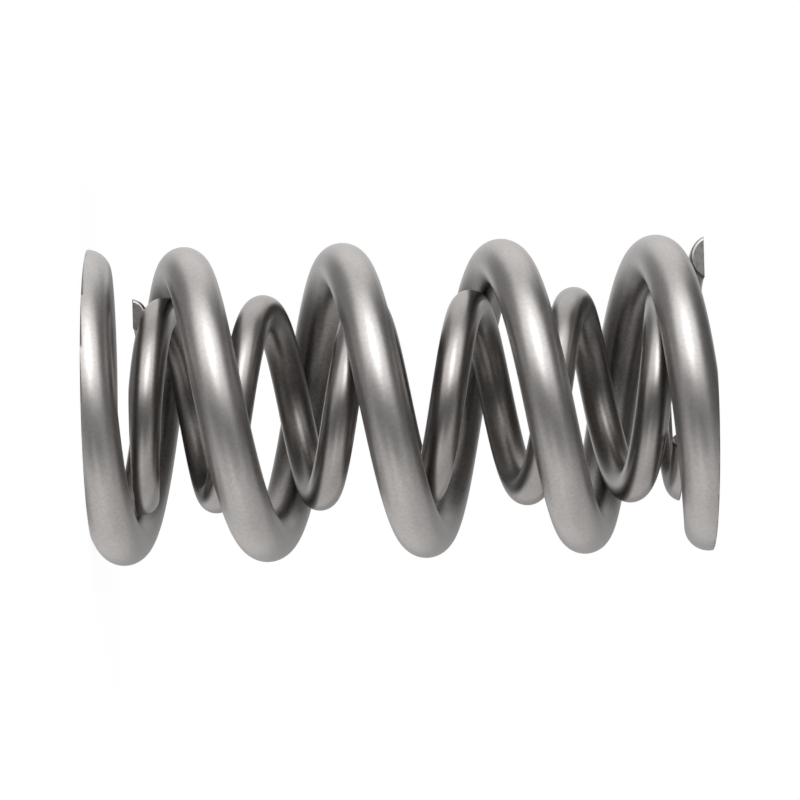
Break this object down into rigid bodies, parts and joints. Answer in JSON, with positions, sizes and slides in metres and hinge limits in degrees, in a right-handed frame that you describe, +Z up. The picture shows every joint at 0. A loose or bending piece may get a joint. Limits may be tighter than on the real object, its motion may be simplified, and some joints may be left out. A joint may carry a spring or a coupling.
{
  "type": "engine valve spring",
  "caption": "Nested compression springs of round steel wire, coiled in opposite directions, with closed ends ground flat.",
  "frame": {"origin": "centre of the outer spring's bottom ground face, on the axis that both springs share", "axes": "+Z up along the common axis, from the bottom ground face to the top one; +X and +Y across the coils"},
  "size_m": [0.0294, 0.0294, 0.0573],
  "materials": {
    "spring_steel": "satin, shot-peened wire with ground end faces"
  },
  "bodies": {
    "root": {"outer_spring": "spring_steel", "inner_spring": "spring_steel"}
  },
  "joints": []
}
